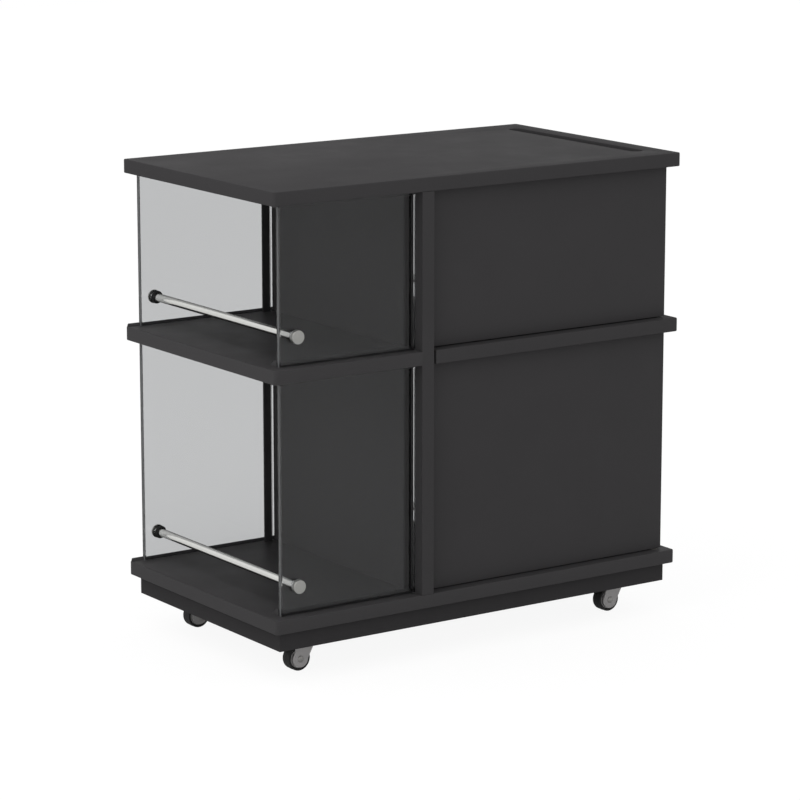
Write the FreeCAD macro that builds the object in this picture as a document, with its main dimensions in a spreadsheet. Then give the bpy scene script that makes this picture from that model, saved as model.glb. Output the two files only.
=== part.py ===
import FreeCAD, Part
import math
import os
import re
import Sketcher

# A tea trolley on four swivel casters: three boards, an open bay between clear
# panels on the left, and on the right a drawer above a cupboard door.
# Millimetres. X runs along the trolley, -Y is its front, Z is up from the floor.

DOC = FreeCAD.newDocument("tea_trolley")
SHEET = DOC.addObject("Spreadsheet::Sheet", "Sizes")

SIZES = {
    # boards
    "board_len": 704, "board_depth": 404, "board_thick": 20,
    "corner_rad": 5, "edge_round": 1.5,
    "lower_clear": 332, "upper_clear": 225,
    # divider and cabinet panels
    "divider_left": 244, "divider_thick": 20,
    "panel_thick": 16, "panel_inset": 16, "side_inset": 14, "back_thick": 12,
    "push_gap": 4, "front_reveal": 2, "lip_gap": 4,
    # plinth
    "plinth_height": 28, "plinth_inset": 12, "plinth_thick": 18,
    "block_len": 92, "block_depth": 82,
    # slot in the worktop
    "slot_right": 30, "slot_width": 22, "slot_len": 314, "slot_depth": 8,
    # clear panels, their grooves, beads and ledges
    "glass_thick": 10, "glass_inset": 16, "glass_rear": 6, "glass_left": 19, "glass_gap": 0.5,
    "groove_depth": 3, "groove_clear": 0.2, "bead_height": 7, "bead_depth": 15,
    "ledge_height": 3.5,
    "strip_gap": 4.5, "strip_wide": 10.5, "strip_deep": 3,
    "rear_strip_gap": 7, "rear_strip_wide": 12,
    # guard rods
    "rod_dia": 12, "rod_left": 44, "rod_rise": 41, "rod_hole_clear": 0.5,
    "knob_dia": 20, "knob_thick": 7.5, "knob_bevel": 1, "nut_thick": 3,
    "washer_dia": 19, "washer_thick": 1.5,
    # drawer
    "drawer_side": 12, "drawer_tall": 140, "drawer_back_gap": 24, "drawer_lift": 24,
    "drawer_floor": 6, "floor_rise": 8, "tongue_len": 5,
    "runner_wide": 12.5, "runner_tall": 35, "runner_wall": 1.5, "runner_back_gap": 19,
    "runner_clear": 0.5, "runner_rise": 40, "runner_set": 6,
    # door pivots
    "pivot_edge": 8, "pivot_dia": 8, "pivot_in_door": 14, "pivot_in_board": 9,
    "bush_wall": 2, "bush_flange": 4, "flange_thick": 1, "run_clear": 0.06,
    # push latch
    "latch_wide": 14, "latch_len": 60, "latch_tall": 14, "tip_dia": 7, "tip_in": 40,
    "strike_dia": 16, "strike_thick": 1.5, "latch_set": 3,
    # casters
    "caster_height": 49, "caster_left": 85, "caster_right": 66, "caster_front": 68,
    "caster_rear": 64, "caster_trail": 10, "plate_edge": 6.5, "plate_thick": 2, "plate_round": 5,
    "plate_hole": 5, "plate_pitch": 35, "race_dia": 36, "race_drop": 3,
    "kingpin_dia": 8, "kingpin_head": 13, "head_thick": 1.4, "head_gap": 0.2,
    "fork_sheet": 2, "fork_crown": 3, "fork_side": 1, "fork_eye": 12.5, "fork_top": 30,
    "wheel_clear": 5, "wheel_wide": 17, "tyre_thick": 4, "tyre_crown": 1.5,
    "axle_dia": 6, "axle_head": 10, "axle_head_thick": 1.5,
    "hub_rim": 2.5, "hub_web": 8, "hub_boss": 12,
}

LEFT = "(-board_len / 2)"
RIGHT = "(board_len / 2)"
FRONT = "(-board_depth / 2)"
REAR = "(board_depth / 2)"
Z_CROWN = "(caster_height - plate_thick - race_drop)"
WHEEL_RAD = "((caster_height - plate_thick - race_drop - fork_crown - wheel_clear) / 2)"
PLATE_LEN = "(plate_pitch + 2 * plate_edge)"
Z_PLINTH = "caster_height"
Z_BOTTOM = "(caster_height + plinth_height)"
Z_LOW = "(caster_height + plinth_height + board_thick)"
Z_MID = "(caster_height + plinth_height + board_thick + lower_clear)"
Z_SHELF = "(caster_height + plinth_height + 2 * board_thick + lower_clear)"
Z_TOP = "(caster_height + plinth_height + 2 * board_thick + lower_clear + upper_clear)"
X_DIVIDER = "(divider_left - board_len / 2)"
X_CABINET = "(divider_left + divider_thick - board_len / 2)"
X_SIDE = "(board_len / 2 - side_inset)"
Y_FACE = "(panel_inset - board_depth / 2)"
Y_BEHIND = "(panel_inset + panel_thick - board_depth / 2)"
Y_BACK = "(board_depth / 2 - panel_inset - back_thick)"
CABINET_DEPTH = "(board_depth - 2 * panel_inset - panel_thick - back_thick)"
DRAWER_LEN = "(%s - drawer_back_gap)" % CABINET_DEPTH
RUNNER_LEN = "(%s - push_gap - runner_set - runner_back_gap)" % CABINET_DEPTH
FITS = {}


def fill_sheet():
    """Puts each driving dimension in a cell of its own."""
    for row, (alias, value) in enumerate(SIZES.items(), start=1):
        SHEET.set("A%d" % row, alias)
        SHEET.set("B%d" % row, str(value))
        SHEET.setAlias("B%d" % row, alias)
    DOC.recompute()


def full(expression):
    """Adds the sheet's name to each alias of an expression."""
    return re.sub(r"\b([a-z]+(?:_[a-z]+)+)\b", r"Sizes.\1", expression)


def value(expression):
    """Works out an expression of the sheet's aliases as a plain number."""
    number = SHEET.evalExpression(full(expression))
    return float(getattr(number, "Value", number))


def bind(obj, sizes):
    """Ties properties of an object to expressions of the sheet."""
    for name, expression in sizes.items():
        obj.setExpression(name, full(expression))


def place(obj, at, rotation=None):
    """Sets an object's place from three expressions, and its turn."""
    if rotation is not None:
        obj.Placement = FreeCAD.Placement(FreeCAD.Vector(), rotation)
    for axis, expression in zip("xyz", at):
        obj.setExpression("Placement.Base." + axis, full(expression))


def keep(name, obj):
    """Names an object as a sub-part of the trolley."""
    obj.Label = name
    FITS[name] = obj
    return obj


TO_Y = FreeCAD.Rotation(FreeCAD.Vector(1, 0, 0), -90)
TO_FRONT = FreeCAD.Rotation(FreeCAD.Vector(1, 0, 0), 90)
UPRIGHT = FreeCAD.Rotation()


def box(name, size, at):
    """Makes a square-edged piece from its size and its low corner."""
    obj = DOC.addObject("Part::Box", name)
    bind(obj, dict(zip(("Length", "Width", "Height"), size)))
    place(obj, at)
    return obj


def bar(name, dia, length, at, rotation=UPRIGHT):
    """Makes a round bar from its diameter, length and start."""
    obj = DOC.addObject("Part::Cylinder", name)
    bind(obj, {"Radius": "(%s) / 2" % dia, "Height": length})
    place(obj, at, rotation)
    return obj


def cut(name, base, tools):
    """Takes the tools' shapes out of a piece."""
    obj = base
    for count, tool in enumerate(tools):
        step = DOC.addObject("Part::Cut", "%s_cut%d" % (name, count))
        step.Base = obj
        step.Tool = tool
        obj = step
    return obj


def group(name, pieces):
    """Holds like pieces together as one sub-part of several solids."""
    obj = DOC.addObject("Part::Compound", name)
    obj.Links = pieces
    return obj


def new_body(name, at, rotation=None):
    """Starts a body at a place given by three expressions."""
    body = DOC.addObject("PartDesign::Body", name)
    place(body, at, rotation)
    return body


def new_sketch(body, role, offset="0"):
    """Attaches a sketch to one of the body's own origin planes."""
    sketch = body.newObject("Sketcher::SketchObject", body.Name + "_sketch")
    plane = next(part for part in body.Origin.OriginFeatures if part.Role == role)
    sketch.AttachmentSupport = [(plane, "")]
    sketch.MapMode = "FlatFace"
    if offset != "0":
        sketch.setExpression("AttachmentOffset.Base.z", full(offset))
    return sketch


def pin_vertex(sketch, line, axis, expression):
    """Holds one coordinate of a line's start at an expression."""
    origin_line = {"x": -2, "y": -1}[axis]
    if expression == "0":
        sketch.addConstraint(Sketcher.Constraint("PointOnObject", line, 1, origin_line))
        return
    kind = {"x": "DistanceX", "y": "DistanceY"}[axis]
    number = value(expression)
    index = sketch.addConstraint(Sketcher.Constraint(kind, -1, 1, line, 1, number))
    sketch.setExpression("Constraints[%d]" % index, full(expression))


def draw_outline(sketch, points):
    """Draws a closed outline through points given as pairs of expressions."""
    spots = [FreeCAD.Vector(value(x), value(y), 0) for x, y in points]
    first = sketch.GeometryCount
    count = len(spots)
    for i in range(count):
        sketch.addGeometry(Part.LineSegment(spots[i], spots[(i + 1) % count]), False)
    for i in range(count):
        after = first + (i + 1) % count
        sketch.addConstraint(Sketcher.Constraint("Coincident", first + i, 2, after, 1))
    for i, (x, y) in enumerate(points):
        pin_vertex(sketch, first + i, "x", x)
        pin_vertex(sketch, first + i, "y", y)


def rectangle(length, width, x="0", y="0"):
    """Gives the four corners of a rectangle as expressions."""
    far_x = length if x == "0" else "%s + %s" % (x, length)
    far_y = width if y == "0" else "%s + %s" % (y, width)
    return [(x, y), (far_x, y), (far_x, far_y), (x, far_y)]


def draw_circle(sketch, radius, x="0", y="0"):
    """Draws a circle whose radius and centre are expressions."""
    centre = FreeCAD.Vector(value(x), value(y), 0)
    normal = FreeCAD.Vector(0, 0, 1)
    ring = sketch.addGeometry(Part.Circle(centre, normal, value(radius)), False)
    index = sketch.addConstraint(Sketcher.Constraint("Radius", ring, value(radius)))
    sketch.setExpression("Constraints[%d]" % index, full(radius))
    for axis, spot in (("x", x), ("y", y)):
        if spot == "0":
            line = {"x": -2, "y": -1}[axis]
            sketch.addConstraint(Sketcher.Constraint("PointOnObject", ring, 3, line))
        else:
            kind = {"x": "DistanceX", "y": "DistanceY"}[axis]
            rule = Sketcher.Constraint(kind, -1, 1, ring, 3, value(spot))
            index = sketch.addConstraint(rule)
            sketch.setExpression("Constraints[%d]" % index, full(spot))


def add_feature(body, kind, sketch, length, reverse=False, both_ways=False):
    """Pads or pockets a sketch, and shows that a pocket took material away."""
    before = body.Shape.Volume if body.Tip else 0.0
    feature = body.newObject("PartDesign::" + kind, body.Name + "_" + kind.lower())
    feature.Profile = sketch
    feature.setExpression("Length", full(length))
    feature.Reversed = reverse
    if both_ways:
        feature.SideType = "Symmetric"
    DOC.recompute()
    if kind == "Pocket" and body.Shape.Volume >= before:
        raise ValueError("no material taken from " + body.Name)
    return feature


def revolve(body, points, role="XZ_Plane"):
    """Turns a half section about the sketch's own upright axis."""
    sketch = new_sketch(body, role)
    draw_outline(sketch, points)
    feature = body.newObject("PartDesign::Revolution", body.Name + "_turned")
    feature.Profile = sketch
    feature.ReferenceAxis = (sketch, ["V_Axis"])
    feature.Angle = 360
    DOC.recompute()
    return feature


def round_edges(body, radius, wanted):
    """Rounds the edges of the body's last feature that a test picks."""
    base = body.Tip
    names = []
    for number, edge in enumerate(base.Shape.Edges, start=1):
        if wanted(edge):
            names.append("Edge%d" % number)
    feature = body.newObject("PartDesign::Fillet", body.Name + "_round")
    feature.Base = (base, names)
    feature.setExpression("Radius", full(radius))
    body.Tip = feature
    DOC.recompute()


def middle(edge):
    """Gives the point half-way along an edge."""
    return edge.valueAt((edge.FirstParameter + edge.LastParameter) / 2)


def is_upright(edge):
    """Tells whether an edge runs straight up."""
    ends = [vertex.Point for vertex in edge.Vertexes]
    if len(ends) != 2:
        return False
    along = ends[1] - ends[0]
    return abs(along.x) + abs(along.y) < 0.001


def board_body(name, at, points, rounded):
    """Pads a board's outline, rounds its free corners and softens its arrises."""
    body = new_body(name, at)
    sketch = new_sketch(body, "XY_Plane")
    draw_outline(sketch, points)
    add_feature(body, "Pad", sketch, "board_thick")
    round_edges(body, "corner_rad", lambda e: is_upright(e) and rounded(middle(e).x))
    thick = value("board_thick")
    reach = value("corner_rad")

    def is_arris(edge):
        """Picks the upper and lower rims, but not the ends that butt on a panel."""
        spot = middle(edge)
        flat = abs(spot.z) < 0.001 or abs(spot.z - thick) < 0.001
        return flat and (rounded(spot.x) or edge.Length > 2 * reach and not butts(edge))

    def butts(edge):
        """Tells whether an edge lies across the board at an end that butts."""
        ends = [vertex.Point for vertex in edge.Vertexes]
        across = abs(ends[0].x - ends[-1].x) < 0.001
        return across and not rounded(ends[0].x)

    round_edges(body, "edge_round", is_arris)
    return body


def take_rectangle(body, points, level, depth, upwards=False):
    """Sinks a rectangular recess from a level of a body, down or up."""
    sketch = new_sketch(body, "XY_Plane", level)
    draw_outline(sketch, points)
    add_feature(body, "Pocket", sketch, depth, reverse=upwards)


def take_circle(body, radius, x, y, level, depth, upwards=False):
    """Sinks a round hole from a level of a body, down or up."""
    sketch = new_sketch(body, "XY_Plane", level)
    draw_circle(sketch, radius, x, y)
    add_feature(body, "Pocket", sketch, depth, reverse=upwards)


def glass_grooves(body, level, upwards):
    """Cuts the two grooves that hold the clear panels' edges."""
    length = "divider_left - glass_left + groove_clear"
    width = "glass_thick + 2 * groove_clear"
    start = "glass_left - groove_clear"
    for lip in ("glass_inset - groove_clear",
                "board_depth - glass_rear - glass_thick - groove_clear"):
        take_rectangle(body, rectangle(length, width, start, lip), level,
                       "groove_depth", upwards)


def pivot_hole(body, left_end, level, upwards):
    """Bores the seat of a door pivot's bush."""
    radius = "pivot_dia / 2 + run_clear + bush_wall"
    x = "board_len - side_inset - pivot_edge - (%s)" % left_end
    y = "panel_inset + panel_thick - pivot_edge"
    take_circle(body, radius, x, y, level, "pivot_in_board", upwards)


def make_boards():
    """Makes the worktop, the bottom board and the two shelves."""
    whole = rectangle("board_len", "board_depth")
    both_ends = lambda x: True

    top = board_body("top_board", (LEFT, FRONT, Z_TOP), whole, both_ends)
    glass_grooves(top, "0", True)
    sink_slot(top)
    keep("top_board", top)

    bottom = board_body("bottom_board", (LEFT, FRONT, Z_BOTTOM), whole, both_ends)
    glass_grooves(bottom, "board_thick", False)
    pivot_hole(bottom, "0", "board_thick", False)
    keep("bottom_board", bottom)

    short = rectangle("divider_left", "board_depth")
    near_left = lambda x: x < value("corner_rad") + 0.001
    left = board_body("left_shelf", (LEFT, FRONT, Z_MID), short, near_left)
    glass_grooves(left, "board_thick", False)
    glass_grooves(left, "0", True)
    keep("left_shelf", left)

    span = "board_len - divider_left - divider_thick"
    notched = [("0", "panel_inset"), ("lip_gap", "panel_inset"), ("lip_gap", "0"),
               (span, "0"), (span, "board_depth"), ("0", "board_depth")]
    near_right = lambda x: x > value(span) - value("corner_rad") - 0.001
    right = board_body("right_shelf", (X_CABINET, FRONT, Z_MID), notched, near_right)
    pivot_hole(right, "divider_left + divider_thick", "0", True)
    keep("right_shelf", right)


def sink_slot(body):
    """Sinks the long round-ended slot near the right end of the worktop."""
    sketch = new_sketch(body, "XY_Plane", "board_thick")
    half = value("slot_width / 2")
    x = value("board_len - slot_right - slot_width / 2")
    low = value("board_depth / 2 - slot_len / 2 + slot_width / 2")
    high = value("board_depth / 2 + slot_len / 2 - slot_width / 2")
    up = FreeCAD.Vector(0, 0, 1)
    near = Part.Circle(FreeCAD.Vector(x, low, 0), up, half)
    far = Part.Circle(FreeCAD.Vector(x, high, 0), up, half)
    sketch.addGeometry(Part.ArcOfCircle(near, math.pi, 2 * math.pi), False)
    sketch.addGeometry(Part.LineSegment(FreeCAD.Vector(x + half, low, 0),
                                        FreeCAD.Vector(x + half, high, 0)), False)
    sketch.addGeometry(Part.ArcOfCircle(far, 0, math.pi), False)
    sketch.addGeometry(Part.LineSegment(FreeCAD.Vector(x - half, high, 0),
                                        FreeCAD.Vector(x - half, low, 0)), False)
    rule = Sketcher.Constraint
    sketch.addConstraint(rule("Tangent", 0, 2, 1, 1))
    sketch.addConstraint(rule("Tangent", 1, 2, 2, 1))
    sketch.addConstraint(rule("Tangent", 2, 2, 3, 1))
    sketch.addConstraint(rule("Tangent", 3, 2, 0, 1))
    sketch.addConstraint(rule("Vertical", 1))
    bound = (("Radius", (0, half), "slot_width / 2"),
             ("DistanceX", (-1, 1, 0, 3, x), "board_len - slot_right - slot_width / 2"),
             ("DistanceY", (-1, 1, 0, 3, low),
              "board_depth / 2 - slot_len / 2 + slot_width / 2"),
             ("DistanceY", (0, 3, 2, 3, high - low), "slot_len - slot_width"))
    for kind, places, expression in bound:
        index = sketch.addConstraint(rule(kind, *places))
        sketch.setExpression("Constraints[%d]" % index, full(expression))
    add_feature(body, "Pocket", sketch, "slot_depth")


def make_carcass():
    """Makes the divider, the cabinet's side and back panels and the plinth."""
    tall = "%s - %s" % (Z_TOP, Z_LOW)
    keep("divider_panel", box("divider_panel", ("divider_thick", "board_depth", tall),
                              (X_DIVIDER, FRONT, Z_LOW)))
    depth = "%s - %s - push_gap" % (Y_BACK, Y_BEHIND)
    inner = "%s - panel_thick" % X_SIDE
    width = "%s - %s" % (X_SIDE, X_CABINET)
    for level, base, height in (("upper", Z_SHELF, "upper_clear"),
                                ("lower", Z_LOW, "lower_clear")):
        side = "side_panel_" + level
        keep(side, box(side, ("panel_thick", depth, height),
                       (inner, "%s + push_gap" % Y_BEHIND, base)))
        back = "back_panel_" + level
        keep(back, box(back, (width, "back_thick", height), (X_CABINET, Y_BACK, base)))
    long = "board_len - 2 * plinth_inset"
    short = "board_depth - 2 * plinth_inset - 2 * plinth_thick"
    inner_y = "%s + plinth_inset + plinth_thick" % FRONT
    for end, y in (("front", "%s + plinth_inset" % FRONT),
                   ("rear", "%s - plinth_inset - plinth_thick" % REAR)):
        rail = "plinth_" + end
        keep(rail, box(rail, (long, "plinth_thick", "plinth_height"),
                       ("%s + plinth_inset" % LEFT, y, Z_PLINTH)))
    for end, x in (("left", "%s + plinth_inset" % LEFT),
                   ("right", "%s - plinth_inset - plinth_thick" % RIGHT)):
        rail = "plinth_" + end
        keep(rail, box(rail, ("plinth_thick", short, "plinth_height"),
                       (x, inner_y, Z_PLINTH)))
    blocks = []
    for x in ("%s + plinth_inset + plinth_thick" % LEFT,
              "%s - plinth_inset - plinth_thick - block_len" % RIGHT):
        for y in (inner_y, "%s - plinth_inset - plinth_thick - block_depth" % REAR):
            blocks.append(box("caster_block", ("block_len", "block_depth",
                                               "plinth_height"), (x, y, Z_PLINTH)))
    keep("caster_blocks", group("caster_blocks", blocks))


def make_glazing(level, base, height):
    """Makes one bay's two clear panels, what holds them and the guard rod across it."""
    length = "divider_left - glass_left - glass_gap"
    tall = "%s + 2 * groove_depth" % height
    start = "%s + glass_left" % LEFT
    sink = "%s - groove_depth" % base
    rod_x = "%s + rod_left" % LEFT
    rod_z = "%s + rod_rise" % base
    faces = {"front": "%s + glass_inset" % FRONT,
             "rear": "%s - glass_rear - glass_thick" % REAR}
    for side, y in faces.items():
        name = "glass_%s_%s" % (side, level)
        sheet = box(name + "_sheet", (length, "glass_thick", tall), (start, y, sink))
        hole = bar(name + "_hole", "rod_dia + 2 * rod_hole_clear", "3 * glass_thick",
                   (rod_x, "%s - glass_thick" % y, rod_z), TO_Y)
        keep(name, cut(name, sheet, [hole]))
    inner = "%s + glass_inset + glass_thick" % FRONT
    make_bead("bead_front_" + level, (start, inner, base), height)
    make_ledge("bead_rear_" + level, base, height)
    make_rod(level, rod_x, rod_z)


def make_bead(name, at, height):
    """Makes the two beads along a front panel, and the strip near the divider."""
    x, y, z = at
    length = "divider_left - glass_left"
    upper = "%s + %s - bead_height" % (z, height)
    side_x = "%s - strip_gap - strip_wide" % X_DIVIDER
    between = "%s - 2 * bead_height" % height
    strips = [box(name + "_low", (length, "bead_depth", "bead_height"), at),
              box(name + "_high", (length, "bead_depth", "bead_height"), (x, y, upper)),
              box(name + "_side", ("strip_wide", "strip_deep", between),
                  (side_x, y, "%s + bead_height" % z))]
    keep(name, group(name, strips))


def make_ledge(name, base, height):
    """Makes the low ledge behind a rear panel, and the strip near the divider."""
    bevel = "0.8 * glass_rear"
    ledge = new_body(name + "_low", (LEFT, "%s - glass_rear" % REAR, base))
    sketch = new_sketch(ledge, "XY_Plane")
    draw_outline(sketch, [("0", "0"), ("divider_left", "0"), ("divider_left", "glass_rear"),
                          (bevel, "glass_rear"), ("0", "glass_rear - %s" % bevel)])
    add_feature(ledge, "Pad", sketch, "ledge_height")
    side_x = "%s - rear_strip_gap - rear_strip_wide" % X_DIVIDER
    inner = "%s - glass_rear - glass_thick - strip_deep" % REAR
    side = box(name + "_side", ("rear_strip_wide", "strip_deep", height),
               (side_x, inner, base))
    keep(name, group(name, [ledge, side]))


def make_rod(level, x, z):
    """Makes a guard rod with its knob, its nut and the washer at the rear panel."""
    front = "%s + glass_inset" % FRONT
    rear = "%s - glass_rear" % REAR
    length = "board_depth - glass_inset - glass_rear"
    keep("rod_" + level, bar("rod_" + level, "rod_dia", length, (x, front, z), TO_Y))
    edge = "knob_dia / 2"
    flat = "knob_dia / 2 - knob_bevel"
    ends = []
    for side, y, turn, thick in (("front", front, TO_FRONT, "knob_thick"),
                                 ("rear", rear, TO_Y, "nut_thick")):
        knob = new_body("rod_knob_%s_%s" % (side, level), (x, y, z), turn)
        revolve(knob, [("0", "0"), (edge, "0"), (edge, "%s - knob_bevel" % thick),
                       (flat, thick), ("0", thick)])
        ends.append(knob)
    keep("rod_knobs_" + level, group("rod_knobs_" + level, ends))
    inner = "%s - glass_thick - washer_thick" % rear
    ring = bar("washer_disc", "washer_dia", "washer_thick", (x, inner, z), TO_Y)
    bore = bar("washer_bore", "rod_dia + 2 * run_clear", "3 * washer_thick",
               (x, "%s - washer_thick" % inner, z), TO_Y)
    WASHERS.append(cut("washer", ring, [bore]))


WASHERS = []


def make_drawer():
    """Makes the drawer: its front, box and floor."""
    front_z = "%s + front_reveal" % Z_SHELF
    width = "%s - %s - front_reveal" % (X_SIDE, X_CABINET)
    keep("drawer_front", box("drawer_front",
                             (width, "panel_thick", "upper_clear - 2 * front_reveal"),
                             ("%s + front_reveal" % X_CABINET, Y_FACE, front_z)))
    base = "%s + drawer_lift" % Z_SHELF
    inset = "runner_wide + runner_clear"
    box_left = "%s + %s" % (X_CABINET, inset)
    box_right = "%s - panel_thick - (%s)" % (X_SIDE, inset)
    inside = "%s + drawer_side" % box_left
    clear = "%s - drawer_side - (%s)" % (box_right, inside)
    floor_z = "%s + floor_rise" % base
    floor = box("drawer_bottom", (clear + " + 2 * tongue_len",
                                  DRAWER_LEN + " - drawer_side", "drawer_floor"),
                (inside + " - tongue_len", Y_BEHIND, floor_z))
    keep("drawer_bottom", floor)
    for side, x in (("left", box_left), ("right", "%s - drawer_side" % box_right)):
        name = "drawer_side_" + side
        wall = box(name + "_board", ("drawer_side", DRAWER_LEN, "drawer_tall"),
                   (x, Y_BEHIND, base))
        keep(name, cut(name, wall, [floor]))
    back_y = "%s + %s - drawer_side" % (Y_BEHIND, DRAWER_LEN)
    keep("drawer_back", box("drawer_back", (clear, "drawer_side", "drawer_tall"),
                            (inside, back_y, base)))


def make_runners():
    """Makes a fixed rail on the carcass and a sliding rail on each drawer side."""
    z = "%s + drawer_lift + runner_rise" % Z_SHELF
    y = "%s + push_gap + runner_set" % Y_BEHIND
    wide = "runner_wide - runner_clear"
    tall = "runner_tall"
    wall = "runner_wall"
    upper = "runner_tall - runner_wall"
    channel = [("0", "0"), (wide, "0"), (wide, wall), (wall, wall), (wall, upper),
               (wide, upper), (wide, tall), ("0", tall)]
    gap = "runner_wall + runner_clear"
    slim = "runner_wide + runner_clear - (%s)" % gap
    low = "%s - 2 * (%s)" % (tall, gap)
    low_in = "%s - runner_wall" % low
    web = "%s - runner_wall" % slim
    slider = [("0", "0"), (slim, "0"), (slim, low), ("0", low), ("0", low_in),
              (web, low_in), (web, wall), ("0", wall)]
    about_z = FreeCAD.Rotation(FreeCAD.Vector(0, 0, 1), 180)
    inner = "%s - panel_thick" % X_SIDE
    hands = (("left", X_CABINET, "+", UPRIGHT, "0"),
             ("right", inner, "-", about_z, RUNNER_LEN))
    rails = (("fixed", channel, "0"), ("sliding", slider, gap))
    for side, x, sign, turn, shift in hands:
        for part, outline, off in rails:
            name = "runner_%s_%s" % (part, side)
            at = ("%s %s (%s)" % (x, sign, off), "%s + %s" % (y, shift),
                  "%s + %s" % (z, off))
            body = new_body(name, at, turn)
            sketch = new_sketch(body, "XZ_Plane")
            draw_outline(sketch, outline)
            add_feature(body, "Pad", sketch, RUNNER_LEN, reverse=True)
            keep(name, body)


def make_door():
    """Makes the cupboard door with its pivot pins, bushes, strike and push latch."""
    axis_x = "%s - pivot_edge" % X_SIDE
    axis_y = "%s - pivot_edge" % Y_BEHIND
    low = "%s + front_reveal" % Z_LOW
    tall = "lower_clear - 2 * front_reveal"
    high = "%s + %s" % (low, tall)
    width = "%s - %s - front_reveal" % (X_SIDE, X_CABINET)
    slab = box("door_slab", (width, "panel_thick", tall),
               ("%s + front_reveal" % X_CABINET, Y_FACE, low))
    bore = "pivot_dia + 2 * run_clear"
    holes = [bar("door_bore_low", bore, "pivot_in_door", (axis_x, axis_y, low)),
             bar("door_bore_high", bore, "pivot_in_door",
                 (axis_x, axis_y, "%s - pivot_in_door" % high))]
    keep("door_panel", cut("door_panel", slab, holes))
    pin = "pivot_in_door + front_reveal + pivot_in_board"
    starts = (("lower", "%s - pivot_in_board" % Z_LOW),
              ("upper", "%s - pivot_in_door" % high))
    pins = [bar("pivot_pin_" + end, "pivot_dia", pin, (axis_x, axis_y, z))
            for end, z in starts]
    keep("door_pivot_pins", group("door_pivot_pins", pins))
    bushes = []
    inner = "pivot_dia / 2 + run_clear"
    outer = "pivot_dia / 2 + run_clear + bush_wall"
    flange = "pivot_dia / 2 + run_clear + bush_flange"
    section = [(inner, "0"), (flange, "0"), (flange, "flange_thick"),
               (outer, "flange_thick"), (outer, "flange_thick + pivot_in_board"),
               (inner, "flange_thick + pivot_in_board")]
    over = FreeCAD.Rotation(FreeCAD.Vector(1, 0, 0), 180)
    for end, z, turn in (("lower", "%s + flange_thick" % Z_LOW, over),
                         ("upper", "%s - flange_thick" % Z_MID, UPRIGHT)):
        bush = new_body("pivot_bush_" + end, (axis_x, axis_y, z), turn)
        revolve(bush, section)
        bushes.append(bush)
    keep("pivot_bushes", group("pivot_bushes", bushes))
    make_latch("%s + lower_clear / 2" % Z_LOW)


def make_latch(z):
    """Makes the push latch on the divider, its tip, and the strike on the door."""
    x = "%s + latch_set + latch_wide / 2" % X_CABINET
    strike_y = "%s + strike_thick" % Y_BEHIND
    keep("door_strike", bar("door_strike", "strike_dia", "strike_thick",
                            (x, Y_BEHIND, z), TO_Y))
    keep("latch_tip", bar("latch_tip", "tip_dia", "tip_in", (x, strike_y, z), TO_Y))
    start = "%s + push_gap + latch_set" % Y_BEHIND
    case = box("latch_case", ("latch_set + latch_wide", "latch_len", "latch_tall"),
               (X_CABINET, start, "%s - latch_tall / 2" % z))
    bore = bar("latch_bore", "tip_dia + 2 * run_clear", "latch_len - latch_set",
               (x, "%s - latch_set" % start, z), TO_Y)
    keep("push_latch", cut("push_latch", case, [bore]))


def fork_body(name, at):
    """Makes a pressed caster fork: a crown over two legs that lean to the axle."""
    body = new_body(name, at)
    under = "%s - fork_crown" % Z_CROWN
    bore = "kingpin_dia / 2 + run_clear"
    half_top = "fork_top / 2"
    revolve(body, [(bore, under), (half_top, under), ("race_dia / 2", Z_CROWN),
                   (bore, Z_CROWN)])
    back = "caster_trail + fork_eye"
    front = "fork_eye - caster_trail"
    width = "wheel_wide + 2 * fork_side + 2 * fork_sheet"
    legs = new_sketch(body, "XZ_Plane")
    draw_outline(legs, [("-(%s)" % half_top, under), ("-(%s)" % back, WHEEL_RAD),
                        (front, WHEEL_RAD), (half_top, under),
                        (half_top, "%s + fork_sheet" % under),
                        ("-(%s)" % half_top, "%s + fork_sheet" % under)])
    add_feature(body, "Pad", legs, width, both_ways=True)
    eye = new_sketch(body, "XZ_Plane")
    draw_circle(eye, "fork_eye", "-caster_trail", WHEEL_RAD)
    add_feature(body, "Pad", eye, width, both_ways=True)
    room = new_sketch(body, "XZ_Plane")
    far = "caster_height"
    draw_outline(room, [("-(%s)" % far, "-fork_sheet"), (far, "-fork_sheet"),
                        (far, under), ("-(%s)" % far, under)])
    add_feature(body, "Pocket", room, "wheel_wide + 2 * fork_side", both_ways=True)
    hole = new_sketch(body, "XZ_Plane")
    draw_circle(hole, "axle_dia / 2 + run_clear", "-caster_trail", WHEEL_RAD)
    add_feature(body, "Pocket", hole, "2 * (%s)" % width, both_ways=True)
    pin = new_sketch(body, "XY_Plane", under + " - fork_sheet")
    draw_circle(pin, bore)
    add_feature(body, "Pocket", pin, "2 * fork_crown + 2 * fork_sheet", reverse=True)
    return body


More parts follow.
